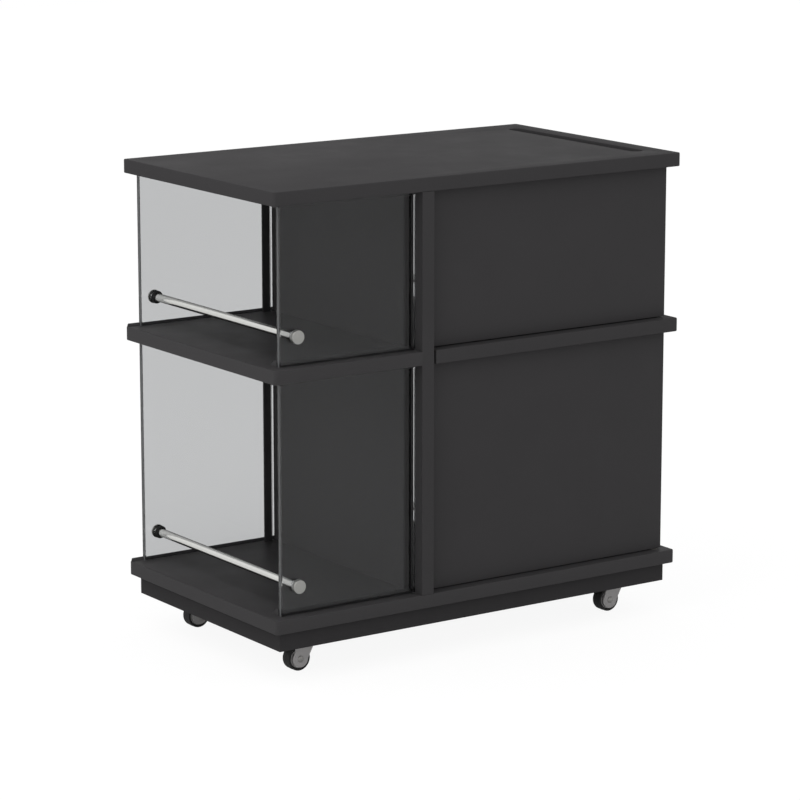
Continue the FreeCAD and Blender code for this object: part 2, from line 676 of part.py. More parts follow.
def plate_body(name, at):
    """Makes a caster's top plate with its race and the riveted kingpin."""
    body = new_body(name, at)
    corner = "%s / 2" % PLATE_LEN
    sheet = new_sketch(body, "XY_Plane", "caster_height - plate_thick")
    draw_outline(sheet, [("-" + corner, "-" + corner), (corner, "-" + corner),
                         (corner, corner), ("-" + corner, corner)])
    add_feature(body, "Pad", sheet, "plate_thick")
    round_edges(body, "plate_round", is_upright)
    holes = new_sketch(body, "XY_Plane", "caster_height")
    for x in ("plate_pitch / 2", "-plate_pitch / 2"):
        for y in ("plate_pitch / 2", "-plate_pitch / 2"):
            draw_circle(holes, "plate_hole / 2", x, y)
    add_feature(body, "Pocket", holes, "plate_thick")
    top = "caster_height - plate_thick"
    head_top = "%s - fork_crown - head_gap" % Z_CROWN
    pin = "kingpin_dia / 2"
    head = "kingpin_head / 2"
    revolve(body, [("0", "%s - head_thick" % head_top), (head, "%s - head_thick" % head_top),
                   (head, head_top), (pin, head_top), (pin, Z_CROWN),
                   ("race_dia / 2 - race_drop", Z_CROWN), ("race_dia / 2", top), ("0", top)])
    return body


def make_caster(corner, x, y):
    """Makes one caster's fork, axle, hub and tyre about its swivel axis."""
    fork = "caster_fork_" + corner
    keep(fork, fork_body(fork, (x, y, "0")))
    wheel_x = "%s - caster_trail" % x
    half = "wheel_wide / 2 + fork_side + fork_sheet"
    out = "%s + axle_head_thick" % half
    shaft = "axle_dia / 2"
    knob = "axle_head / 2"
    axle_at = (wheel_x, "%s - (%s)" % (y, out), WHEEL_RAD)
    axle = new_body("caster_axle_" + corner, axle_at, TO_Y)
    end = "2 * (%s)" % out
    revolve(axle, [("0", "0"), (shaft, "0"), (knob, "axle_head_thick"),
                   (shaft, "axle_head_thick"), (shaft, "%s - axle_head_thick" % end),
                   (knob, "%s - axle_head_thick" % end), (shaft, end), ("0", end)])
    keep("caster_axle_" + corner, axle)
    start = (wheel_x, "%s - wheel_wide / 2" % y, WHEEL_RAD)
    rim = "%s - tyre_thick" % WHEEL_RAD
    tyre = new_body("caster_tyre_" + corner, start, TO_Y)
    shoulder = "%s - tyre_crown" % WHEEL_RAD
    far = "wheel_wide - tyre_crown"
    revolve(tyre, [(rim, "tyre_crown"), (shoulder, "0"), (WHEEL_RAD, "tyre_crown"),
                   (WHEEL_RAD, far), (shoulder, "wheel_wide"), (rim, far)])
    keep("caster_tyre_" + corner, tyre)
    hub = new_body("caster_hub_" + corner, start, TO_Y)
    bore = "axle_dia / 2 + run_clear"
    boss = "hub_boss / 2"
    inside = "%s - hub_rim" % rim
    web_low = "wheel_wide / 2 - hub_web / 2"
    web_high = "wheel_wide / 2 + hub_web / 2"
    crown = "tyre_crown"
    crown_far = "wheel_wide - tyre_crown"
    revolve(hub, [(bore, crown), (boss, crown), (boss, web_low), (inside, web_low),
                  (inside, crown), (rim, crown), (rim, crown_far), (inside, crown_far),
                  (inside, web_high), (boss, web_high), (boss, crown_far),
                  (bore, crown_far)])
    keep("caster_hub_" + corner, hub)


def make_casters():
    """Makes the four casters and their top plates."""
    plates = []
    for end, x in (("left", "%s + caster_left" % LEFT),
                   ("right", "%s - caster_right" % RIGHT)):
        for side, y in (("front", "%s + caster_front" % FRONT),
                        ("rear", "%s - caster_rear" % REAR)):
            corner = side + "_" + end
            plates.append(plate_body("caster_plate_" + corner, (x, y, "0")))
            make_caster(corner, x, y)
    keep("caster_plates", group("caster_plates", plates))


def save_parts():
    """Tests every object and writes each sub-part to its own file."""
    DOC.recompute()
    for obj in DOC.Objects:
        if "Invalid" in obj.State or "Error" in obj.State:
            raise ValueError("%s did not build: %s" % (obj.Name, obj.State))
    os.makedirs("parts", exist_ok=True)
    for name, obj in FITS.items():
        shape = obj.Shape
        if shape.isNull() or not shape.isValid() or not shape.Solids:
            raise ValueError("bad shape in " + name)
        shape.exportStep("parts/%s.step" % name)
        print("%-24s %2d solid(s) %10.1f mm3" % (name, len(shape.Solids), shape.Volume))


def main():
    """Builds the trolley, piece by piece."""
    fill_sheet()
    make_boards()
    make_carcass()
    make_glazing("upper", Z_SHELF, "upper_clear")
    make_glazing("lower", Z_LOW, "lower_clear")
    keep("rod_washers", group("rod_washers", WASHERS))
    make_drawer()
    make_runners()
    make_door()
    make_casters()
    save_parts()


main()
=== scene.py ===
import logging
import math
from dataclasses import dataclass
from enum import Enum
from typing import Any, Sequence

import bmesh
import bpy
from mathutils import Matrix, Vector


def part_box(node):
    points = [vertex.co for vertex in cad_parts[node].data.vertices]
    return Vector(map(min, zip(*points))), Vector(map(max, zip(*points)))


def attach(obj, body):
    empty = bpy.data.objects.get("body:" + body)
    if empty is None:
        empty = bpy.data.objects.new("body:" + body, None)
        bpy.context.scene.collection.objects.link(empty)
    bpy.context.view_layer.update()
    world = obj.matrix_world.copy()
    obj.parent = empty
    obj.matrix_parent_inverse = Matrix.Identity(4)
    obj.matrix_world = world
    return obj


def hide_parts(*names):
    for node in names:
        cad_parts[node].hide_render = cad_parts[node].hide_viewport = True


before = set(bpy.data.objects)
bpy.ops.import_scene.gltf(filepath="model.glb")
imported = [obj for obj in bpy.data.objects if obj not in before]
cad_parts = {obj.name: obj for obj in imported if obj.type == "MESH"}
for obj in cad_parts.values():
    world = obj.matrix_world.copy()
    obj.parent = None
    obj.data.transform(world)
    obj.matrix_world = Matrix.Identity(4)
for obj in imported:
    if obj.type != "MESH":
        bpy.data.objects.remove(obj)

LOG = logging.getLogger("tea_trolley")
MM = 0.001
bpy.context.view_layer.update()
WELD = 0.001 * MM  # vertices nearer than this become one
HAIR = 0.01 * MM  # keeps two rounds from ending in the same point
QUARTER = 0.5 * math.pi
SHARP = math.radians(35)  # edges that turn by more than this stay sharp
CORNER_STEPS = 12  # facets in a board's rounded corner
ARRIS_STEPS = 4  # facets in a board's arris
SIDE_SHARE = 0.45  # the most of a side that one round may take
NOISE_SPAN = (0.3, 0.7)  # where nearly all values of a noise texture lie
FILM_SPAN = (0.4, 0.8)  # the noise values over which a film of handling grows
GRIT_DEPTH = 0.2 * MM  # height of the bumps at full strength
RING_DEPTH = 0.05 * MM  # height of turning rings at full strength
WAVE_BANDS = 6.28  # bands that a wave texture draws in one unit, about 20 / pi
Pair = tuple[float, float]
Triple = tuple[float, float, float]
Mesh = bmesh.types.BMesh
Ring = list[bmesh.types.BMVert]
Tree = bpy.types.NodeTree
Socket = bpy.types.NodeSocket


class Ray(Enum):
    """The kinds of ray to which the floor and the world show plain white."""

    CAMERA = "Is Camera Ray"
    GLOSSY = "Is Glossy Ray"
    TRANSMISSION = "Is Transmission Ray"


class Axis(Enum):
    """The way that a turned piece's axis points."""

    DOWN = (0.0, 0.0, -1.0)
    FRONT = (0.0, -1.0, 0.0)
    REAR = (0.0, 1.0, 0.0)
    LEFT = (-1.0, 0.0, 0.0)
    RIGHT = (1.0, 0.0, 0.0)


def linear(colour: str) -> tuple[float, float, float, float]:
    """Turns an sRGB hex colour into linear values.

    Args:
        colour: six hex digits after a hash sign.

    Returns:
        Red, green, blue and an alpha of 1.
    """
    parts = [int(colour[i:i + 2], 16) / 255 for i in (1, 3, 5)]
    flat = [p / 12.92 if p <= 0.04045 else ((p + 0.055) / 1.055) ** 2.4 for p in parts]
    return (flat[0], flat[1], flat[2], 1.0)


def add_node(tree: Tree, kind: str, sockets: dict[Any, Any] | None = None,
             settings: dict[str, Any] | None = None) -> bpy.types.Node:
    """Adds one node with its settings, socket values and links.

    Args:
        tree: the node tree to add to.
        kind: the node's type name without its first word, ShaderNode.
        sockets: input values by name or number; an output socket is linked instead.
        settings: properties of the node.

    Returns:
        The new node.
    """
    node = tree.nodes.new("ShaderNode" + kind)
    for name, setting in (settings or {}).items():
        setattr(node, name, setting)
    for name, given in (sockets or {}).items():
        if isinstance(given, Socket):
            tree.links.new(given, node.inputs[name])
        else:
            node.inputs[name].default_value = given
    return node


def empty_tree(owner: bpy.types.Material | bpy.types.World) -> Tree:
    """Empties the node tree of a new material or world.

    Args:
        owner: the material or world.

    Returns:
        Its node tree.
    """
    owner.use_nodes = True
    owner.node_tree.nodes.clear()
    return owner.node_tree


def per_mm(size: float) -> float:
    """Gives the texture scale at which one cell is a number of millimetres wide."""
    return 1.0 / (size * MM)


@dataclass(frozen=True)
class Finish:
    """A surface as the maker left it: colour, gloss, and how both vary across it."""

    name: str  # the real material's common name and how its surface was made
    colour: str  # sRGB hex of the darker patches
    second: str  # sRGB hex of the lighter patches
    patch: float  # width of the colour patches in millimetres
    grit: float  # width of the bumps in millimetres
    relief: float  # strength of the bumps
    rough: Pair  # least and greatest roughness
    metallic: float = 0.0  # 1 for bare metal
    ior: float = 1.5  # index of refraction of what isn't metal
    specular: float = 0.5  # level of the reflection, 0.5 being what the index gives
    tint: float = 1.0  # grey level of a clear sheet's reflection, or of metal's at a low angle
    stretch: Triple = (1.0, 1.0, 1.0)  # how much longer the pattern is along X, Y and Z

    def material(self) -> bpy.types.Material:
        """Makes the material once and gives it back each time.

        Returns:
            The finish's material.
        """
        known = bpy.data.materials.get(self.name)
        if known is not None:
            return known
        made = bpy.data.materials.new(self.name)
        tree = empty_tree(made)
        place = add_node(tree, "TexCoord").outputs["Object"]
        along = add_node(tree, "Mapping", {
            "Vector": place, "Scale": tuple(1.0 / s for s in self.stretch)}).outputs["Vector"]
        shader = add_node(tree, "BsdfPrincipled", {
            "Metallic": self.metallic, "IOR": self.ior, "Specular IOR Level": self.specular,
            "Specular Tint": (self.tint, self.tint, self.tint, 1.0)})
        self.paint(tree, along, shader)
        add_node(tree, "OutputMaterial", {"Surface": shader.outputs["BSDF"]})
        made.diffuse_color = linear(self.colour)
        return made

    def paint(self, tree: Tree, place: Socket, shader: bpy.types.Node) -> None:
        """Links the patches, the gloss and the bumps to the shader.

        Args:
            tree: the material's node tree.
            place: coordinates to draw the patterns in.
            shader: the shader to feed.
        """
        patch = add_node(tree, "TexNoise", {
            "Vector": place, "Scale": per_mm(self.patch), "Detail": 4.0, "Roughness": 0.6})
        colour = add_node(tree, "Mix", {
            0: patch.outputs["Fac"], 6: linear(self.colour), 7: linear(self.second)},
            {"data_type": "RGBA"})
        tree.links.new(colour.outputs[2], shader.inputs["Base Color"])
        grit = add_node(tree, "TexNoise", {
            "Vector": place, "Scale": per_mm(self.grit), "Detail": 2.0, "Roughness": 0.5})
        self.gloss(tree, patch.outputs["Fac"], NOISE_SPAN, shader)
        bump = add_node(tree, "Bump", {
            "Height": grit.outputs["Fac"], "Strength": self.relief, "Distance": GRIT_DEPTH})
        tree.links.new(bump.outputs["Normal"], shader.inputs["Normal"])

    def gloss(self, tree: Tree, noise: Socket, span: Pair, shader: bpy.types.Node) -> None:
        """Lets a noise set the shader's roughness.

        Args:
            tree: the material's node tree.
            noise: the noise's value.
            span: the values that give the least and the greatest roughness.
            shader: the shader to feed.
        """
        rough = add_node(tree, "MapRange", {
            "Value": noise, "From Min": span[0], "From Max": span[1],
            "To Min": self.rough[0], "To Max": self.rough[1]})
        tree.links.new(rough.outputs["Result"], shader.inputs["Roughness"])


@dataclass(frozen=True)
class TurnedMetal(Finish):
    """Bare metal with the fine rings that turning or drawing leaves along Y."""

    ring: float = 0.9  # width of one ring in millimetres

    def paint(self, tree: Tree, place: Socket, shader: bpy.types.Node) -> None:
        """Adds the rings to what a plain finish has.

        Args:
            tree: the material's node tree.
            place: coordinates to draw the patterns in.
            shader: the shader to feed.
        """
        super().paint(tree, place, shader)
        rings = add_node(tree, "TexWave", {
            "Vector": place, "Scale": per_mm(self.ring) / WAVE_BANDS, "Distortion": 1.5,
            "Detail": 2.0, "Detail Scale": 3.0}, {"wave_type": "BANDS", "bands_direction": "Y"})
        bump = add_node(tree, "Bump", {
            "Height": rings.outputs["Fac"], "Strength": self.relief, "Distance": RING_DEPTH})
        tree.links.new(bump.outputs["Normal"], shader.inputs["Normal"])


@dataclass(frozen=True)
class ClearSheet(Finish):
    """A grey-tinted clear sheet with polished faces."""

    def paint(self, tree: Tree, place: Socket, shader: bpy.types.Node) -> None:
        """Makes the sheet clear, with a faint film of handling marks in its gloss.

        Args:
            tree: the material's node tree.
            place: coordinates to draw the patterns in.
            shader: the shader to feed.
        """
        shader.inputs["Base Color"].default_value = linear(self.colour)
        shader.inputs["Transmission Weight"].default_value = 1.0
        film = add_node(tree, "TexNoise", {
            "Vector": place, "Scale": per_mm(self.patch), "Detail": 3.0})
        self.gloss(tree, film.outputs["Fac"], FILM_SPAN, shader)


# Matt charcoal lacquer sprayed on fibreboard: soft sheen, faint clouding of the spray, and
# an orange-peel of about 1 mm, too fine to see but breaking up the gloss.
LACQUER = Finish("charcoal_lacquer_sprayed", "#393839", "#3d3c3d", 90.0, 1.0, 0.05,
                 (0.55, 0.66), specular=0.012)
# The same lacquer on the boards inside the bays, rubbed by pots and cups to a low sheen.
SHELF_LACQUER = Finish("charcoal_lacquer_rubbed", "#393839", "#3d3c3d", 90.0, 1.0, 0.05,
                       (0.5, 0.6), specular=0.045)
# The same lacquer on the plinth, painted a little darker as the shade that falls on it under the
# bottom board.
SHADED_PLINTH_LACQUER = Finish("charcoal_lacquer_plinth_painted_shade", "#313031", "#363536", 60.0, 1.0, 0.05,
                        (0.58, 0.7), specular=0.02)
# The front strips beside the clear panels, lacquered near black: painted shade of the corner
# where a panel meets the divider.
SHADE_STRIP_LACQUER = Finish("charcoal_lacquer_painted_shade_strip", "#1c1b1c", "#212021", 60.0, 1.0, 0.05,
                       (0.6, 0.7), specular=0.02)
# Grey melamine paper pressed on chipboard: flat, with a short linen-like print.
MELAMINE = Finish("grey_melamine_pressed", "#6a696a", "#757475", 9.0, 1.6, 0.1,
                  (0.45, 0.55), specular=0.3, stretch=(1.0, 4.0, 1.0))
# Stained softwood, sawn: long grain and open pores.
STAINED_WOOD = Finish("stained_softwood_sawn", "#3a342f", "#4d443b", 7.0, 1.2, 0.5,
                      (0.7, 0.85), specular=0.25, stretch=(9.0, 1.0, 1.0))
# Cast clear sheet with a grey tint: dims what is behind it and mirrors a little.
TINTED_SHEET = ClearSheet("grey_clear_sheet_polished", "#cdcecf", "#cdcecf", 160.0, 1.0, 0.0,
                          (0.0, 0.01), ior=1.49, tint=0.5)
# The same sheet's outer end, sawn and ground but not polished: an even grey line.
GROUND_END = Finish("grey_clear_sheet_ground_end", "#4e4f50", "#555657", 12.0, 0.6, 0.1,
                    (0.5, 0.6), specular=0.3)
# Stainless bar, ground and polished: a bright line along it, dark towards both sides, with
# fine rings round it.
BRIGHT_STEEL = TurnedMetal("stainless_bar_polished", "#d6d6d3", "#e0e0dd", 18.0, 1.0, 0.04,
                           (0.14, 0.2), metallic=1.0, tint=0.1, ring=1.2)
# The same steel on the knobs' faces, turned and left satin.
SATIN_STEEL = TurnedMetal("stainless_knob_turned", "#92928f", "#9f9f9c", 8.0, 0.8, 0.2,
                          (0.32, 0.42), metallic=1.0, ring=0.9)
# Zinc-plated pressed steel: dull silver with a fine crystal mottle.
ZINC = Finish("zinc_plated_steel_pressed", "#9b9b9a", "#b2b2b0", 3.0, 0.9, 0.15,
              (0.3, 0.45), metallic=1.0)
# The axles' riveted heads, dulled: as grey as the hubs, with a soft gleam.
DULL_STEEL = Finish("steel_rivet_dulled", "#8a8987", "#959492", 3.0, 0.8, 0.2,
                    (0.4, 0.5), metallic=1.0)
# Moulded grey nylon hub: even, with a soft sheen.
GREY_NYLON = Finish("grey_nylon_moulded", "#9c9a9a", "#a6a4a4", 6.0, 1.0, 0.15,
                    (0.4, 0.5), specular=0.4)
# Moulded nylon of the pivot bushes, painted darker so that they sink into the shade of their
# gaps: waxy.
SHADE_DARKENED_NYLON = Finish("nylon_moulded_darkened_for_shade", "#5d5b58", "#6a6864", 5.0, 0.8, 0.1, (0.35, 0.45))
# Moulded dark plastic of the push latch.
LATCH_PLASTIC = Finish("dark_abs_moulded", "#2a2a2b", "#313132", 4.0, 0.8, 0.25, (0.4, 0.5))
# Moulded black rubber: dull, with a faint bloom of dust.
RUBBER = Finish("black_rubber_moulded", "#1c1c1c", "#252525", 5.0, 0.8, 0.3,
                (0.6, 0.75), specular=0.3)


def nodes_like(*starts: str) -> list[str]:
    """Gives the names of the CAD nodes that start with one of the given words."""
    return [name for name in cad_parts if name.startswith(starts)]


def new_piece(name: str, mesh: Mesh, finish: Finish, body: str, node: str = "",
              others: Sequence[Finish] = ()) -> bpy.types.Object:
    """Turns a working mesh into a dressed piece that rides on a body.

    Args:
        name: the piece's name.
        mesh: the working mesh, in the trolley's frame; it is freed.
        finish: what the piece is made of.
        body: the moving body that carries it.
        node: the CAD node that it stands for, if there is one.
        others: finishes of the faces whose material number is above 0.

    Returns:
        The new object.
    """
    bmesh.ops.remove_doubles(mesh, verts=mesh.verts, dist=WELD)
    bmesh.ops.recalc_face_normals(mesh, faces=mesh.faces)
    data = bpy.data.meshes.new(name)
    mesh.to_mesh(data)
    mesh.free()
    data.shade_smooth()
    data.set_sharp_from_angle(angle=SHARP)
    for each in (finish, *others):
        data.materials.append(each.material())
    piece = bpy.data.objects.new(name, data)
    bpy.context.scene.collection.objects.link(piece)
    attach(piece, body)
    if node:
        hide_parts(node)
    LOG.info("piece %s: %d faces", name, len(data.polygons))
    return piece


def lathe(mesh: Mesh, profile: Sequence[Pair], at: Vector, axis: Axis,
          steps: int = 72) -> None:
    """Turns a profile about an axis and adds it to a working mesh.

    Args:
        mesh: the working mesh.
        profile: radius and distance along the axis, from one end of the section to the other.
        at: where the axis starts.
        axis: the way that it points.
        steps: number of facets round it.
    """
    turn = Vector((0.0, 0.0, 1.0)).rotation_difference(Vector(axis.value)).to_matrix()
    rings: list[Ring] = []
    for radius, along in profile:
        count = steps if radius > 0 else 1
        ring = []
        for i in range(count):
            angle = 2 * math.pi * i / steps
            spot = Vector((radius * math.cos(angle), radius * math.sin(angle), along))
            ring.append(mesh.verts.new(at + turn @ spot))
        rings.append(ring)
    for low, high in zip(rings, rings[1:]):
        for i in range(steps):
            quad = [low[i % len(low)], low[(i + 1) % len(low)],
                    high[(i + 1) % len(high)], high[i % len(high)]]
            corners = list(dict.fromkeys(quad))
            if len(corners) > 2:
                mesh.faces.new(corners)


def soften(profile: Sequence[Pair], radius: float, steps: int = 4) -> list[Pair]:
    """Rounds each inner corner of a profile.

    Args:
        profile: the corners in order.
        radius: the rounding, shortened where a side is too short for it.
        steps: number of facets in each round.

    Returns:
        The rounded profile.
    """
    spots = [Vector(p) for p in profile]
    out: list[Pair] = [profile[0]]
    for before, spot, after in zip(spots, spots[1:], spots[2:]):
        back, ahead = before - spot, after - spot
        reach = min(radius, SIDE_SHARE * back.length, SIDE_SHARE * ahead.length)
        start, end = spot + back.normalized() * reach, spot + ahead.normalized() * reach
        for i in range(steps + 1):
            t = i / steps
            bent = start * (1 - t) ** 2 + spot * (2 * t * (1 - t)) + end * t ** 2
            out.append((bent.x, bent.y))
    out.append(profile[-1])
    return out


@dataclass
class Outline:
    """A board's outline: its corners, their rounds, and which sides are free."""

    corners: list[Pair]  # the corners in order, anticlockwise, in metres
    rounds: list[float]  # the radius of each corner
    free: list[float]  # for each side, from its corner to the next, 1 if its arris is softened

    def inset(self, by: float) -> list[Pair]:
        """Moves the outline inwards on its free sides.

        Args:
            by: the distance.

        Returns:
            The points of the moved outline.
        """
        count = len(self.corners)
        lines = []
        for i in range(count):
            start, end = Vector(self.corners[i]), Vector(self.corners[(i + 1) % count])
            along = (end - start).normalized()
            inward = Vector((-along.y, along.x))
            lines.append((start + inward * by * self.free[i], along))
        points: list[Pair] = []
        for i in range(count):
            (one, back), (other, ahead) = lines[i - 1], lines[i]
            gap, cross = other - one, back.x * ahead.y - back.y * ahead.x
            spot = one + back * ((gap.x * ahead.y - gap.y * ahead.x) / cross)
            radius = self.rounds[i] - by
            if self.rounds[i] <= 0:
                points.append((spot.x, spot.y))
                continue
            centre = spot + (ahead - back) * radius
            first = math.atan2(-ahead.y, -ahead.x)
            for k in range(CORNER_STEPS + 1):
                angle = first + QUARTER * k / CORNER_STEPS
                points.append((centre.x + radius * math.cos(angle),
                               centre.y + radius * math.sin(angle)))
        return points


def ring_of(mesh: Mesh, points: Sequence[Pair], z: float) -> Ring:
    """Adds a closed ring of vertices at one height and gives it back."""
    return [mesh.verts.new((x, y, z)) for x, y in points]


def bridge(mesh: Mesh, rings: Sequence[Ring]) -> None:
    """Joins each ring to the next one, of as many vertices, with quads.

    Args:
        mesh: the working mesh.
        rings: the rings in order.
    """
    count = len(rings[0])
    for low, high in zip(rings, rings[1:]):
        for i in range(count):
            mesh.faces.new((low[i], low[(i + 1) % count], high[(i + 1) % count], high[i]))


def fill_between(mesh: Mesh, outer: Ring, inner: Ring) -> None:
    """Fills the flat face between two rings.

    Args:
        mesh: the working mesh.
        outer: the ring outside.
        inner: the ring inside.
    """
    pairs = [(ring[i - 1], ring[i]) for ring in (outer, inner) for i in range(len(ring))]
    edges = [mesh.edges.get(pair) for pair in pairs]
    bmesh.ops.triangle_fill(mesh, use_beauty=True, edges=edges)


def oblong(near: Vector | Pair, far: Vector | Pair) -> list[Pair]:
    """Gives the four corners between two opposite ones, anticlockwise."""
    return [(near[0], near[1]), (far[0], near[1]), (far[0], far[1]), (near[0], far[1])]


def mirrored(near: Sequence[Pair], width: float) -> list[Pair]:
    """Gives a profile's other half, from its middle to its far end."""
    return [(r, width - y) for r, y in reversed(near)]


def slab(mesh: Mesh, outline: Outline, low: float, high: float, arris: float,
         open_top: bool = False) -> Ring:
    """Adds a board with softened arrises to a working mesh.

    Args:
        mesh: the working mesh.
        outline: the board's outline.
        low: height of its underside.
        high: height of its upper face.
        arris: radius of the softened arrises.
        open_top: leaves the upper face out, for a recess.

    Returns:
        The ring round the upper face.
    """
    turns = [QUARTER * k / ARRIS_STEPS for k in range(ARRIS_STEPS + 1)]
    shelf = [(arris * (1 - math.cos(t)), arris * math.sin(t)) for t in reversed(turns)]
    rings = []
    for inset, rise in shelf:
        rings.append(ring_of(mesh, outline.inset(inset), low + arris - rise))
    for inset, rise in reversed(shelf):
        rings.append(ring_of(mesh, outline.inset(inset), high - arris + rise))
    bridge(mesh, rings)
    mesh.faces.new(rings[0])
    if not open_top:
        mesh.faces.new(rings[-1])
    return rings[-1]


@dataclass
class Boards:
    """The worktop, the bottom board and the two shelves, with rounded free corners."""

    corner: float = 5 * MM  # radius of the boards' corners
    arris: float = 1.5 * MM  # radius of the softened arrises
    slot_width: float = 22 * MM  # width of the worktop's slot
    slot_depth: float = 8 * MM  # depth of the slot
    slot_length: float = 314 * MM  # length of the slot
    slot_edge: float = 30 * MM  # distance from the slot to the worktop's right end
    slot_arris: float = 0.8 * MM  # width of the slot's softened arris
    slot_bend: float = 0.3  # where that arris bends, as a share of it
    lip: float = 4 * MM  # gap between the right shelf's front lip and the divider
    lip_depth: float = 16 * MM  # how far that lip stands out in front of the fronts

    def build(self) -> None:
        """Makes the four boards."""
        self.plain("bottom_board", self.whole("bottom_board"), SHELF_LACQUER)
        self.worktop()
        self.plain("left_shelf", self.shelf_left(), SHELF_LACQUER)
        self.plain("right_shelf", self.shelf_right(), LACQUER)

    def whole(self, node: str) -> Outline:
        """Gives the outline of a board that is rounded at all four corners."""
        return Outline(oblong(*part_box(node)), [self.corner] * 4, [1.0] * 4)

    def shelf_left(self) -> Outline:
        """Gives the left shelf's outline, square where it butts on the divider."""
        return Outline(oblong(*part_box("left_shelf")), [self.corner, 0.0, 0.0, self.corner],
                       [1.0, 0.0, 1.0, 1.0])

    def shelf_right(self) -> Outline:
        """Outlines the right shelf, with its front lip held clear of the divider.

        Returns:
            The outline.
        """
        low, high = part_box("right_shelf")
        inner, back = low.x + self.lip, low.y + self.lip_depth
        corners = [(inner, low.y), (high.x, low.y), (high.x, high.y), (low.x, high.y),
                   (low.x, back), (inner, back)]
        return Outline(corners, [0.0, self.corner, self.corner, 0.0, 0.0, 0.0],
                       [1.0, 1.0, 1.0, 0.0, 0.0, 1.0])

    def plain(self, node: str, outline: Outline, finish: Finish) -> None:
        """Makes a board with nothing cut in it.

        Args:
            node: the CAD node that it stands for.
            outline: its outline.
            finish: its finish.
        """
        low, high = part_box(node)
        mesh = bmesh.new()
        slab(mesh, outline, low.z, high.z, self.arris)
        new_piece(node + "_lacquered", mesh, finish, "trolley", node)

    def worktop(self) -> None:
        """Makes the worktop with its round-ended slot."""
        low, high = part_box("top_board")
        mesh = bmesh.new()
        rim = slab(mesh, self.whole("top_board"), low.z, high.z, self.arris, open_top=True)
        half = self.slot_width / 2
        right = high.x - self.slot_edge
        reach = self.slot_length / 2
        corners = oblong((right - 2 * half, -reach), (right, reach))
        cut = Outline(corners, [half - HAIR] * 4, [1.0] * 4)
        soft, bent = self.slot_arris, self.slot_bend * self.slot_arris
        mouth = ring_of(mesh, cut.inset(-soft), high.z)
        bend = ring_of(mesh, cut.inset(-bent), high.z - bent)
        lip = ring_of(mesh, cut.inset(0.0), high.z - soft)
        foot = ring_of(mesh, cut.inset(0.0), high.z - self.slot_depth)
        bridge(mesh, (mouth, bend, lip, foot))
        mesh.faces.new(foot)
        fill_between(mesh, rim, mouth)
        new_piece("top_board_lacquered", mesh, LACQUER, "trolley", "top_board")


@dataclass
class Panels:
    """The flat panels that keep their CAD shape and get softened arrises and a finish."""

    arris: float = 0.8 * MM  # width of the softened arris of a lacquered panel
    fine: float = 0.4 * MM  # width of the arris of a melamine or moulded piece
    facets: int = 3  # number of facets in an arris
    turn: float = 40.0  # edges that turn by more than this many degrees are softened

    def build(self) -> None:
        """Dresses every node that no other class replaces."""
        lacquered = nodes_like("divider_panel", "side_panel_", "back_panel_", "drawer_front",
                               "door_panel")
        boxed = nodes_like("drawer_side_", "drawer_back", "drawer_bottom")
        plated = nodes_like("runner_", "caster_plates", "door_pivot_pins", "door_strike")
        for nodes, finish, arris in (
                (lacquered, LACQUER, self.arris),
                # the plinth's darker lacquer is painted shade
                (nodes_like("plinth_"), SHADED_PLINTH_LACQUER, self.arris),
                (boxed, MELAMINE, self.fine), (plated, ZINC, 0.0),
                (nodes_like("caster_fork_"), GREY_NYLON, self.fine),
                # the bushes' darker nylon is painted shade of their gaps
                (["pivot_bushes"], SHADE_DARKENED_NYLON, 0.0),
                (["caster_blocks"], STAINED_WOOD, self.arris),
                (["push_latch", "latch_tip"], LATCH_PLASTIC, self.fine)):
            for node in nodes:
                self.dress(node, finish, arris)

    def dress(self, node: str, finish: Finish, arris: float) -> None:
        """Gives a node its finish and softens its sharp edges.

        Args:
            node: the CAD node.
            finish: what it is made of.
            arris: width of the softened edges, or 0 to leave them.
        """
        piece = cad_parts[node]
        piece.data.materials.clear()
        piece.data.materials.append(finish.material())
        if arris > 0:
            bevel = piece.modifiers.new("softened_arris", "BEVEL")
            bevel.width = arris
            bevel.segments = self.facets
            bevel.limit_method = "ANGLE"
            bevel.angle_limit = math.radians(self.turn)
            bevel.harden_normals = True
        LOG.info("node %s: %s", node, finish.name)


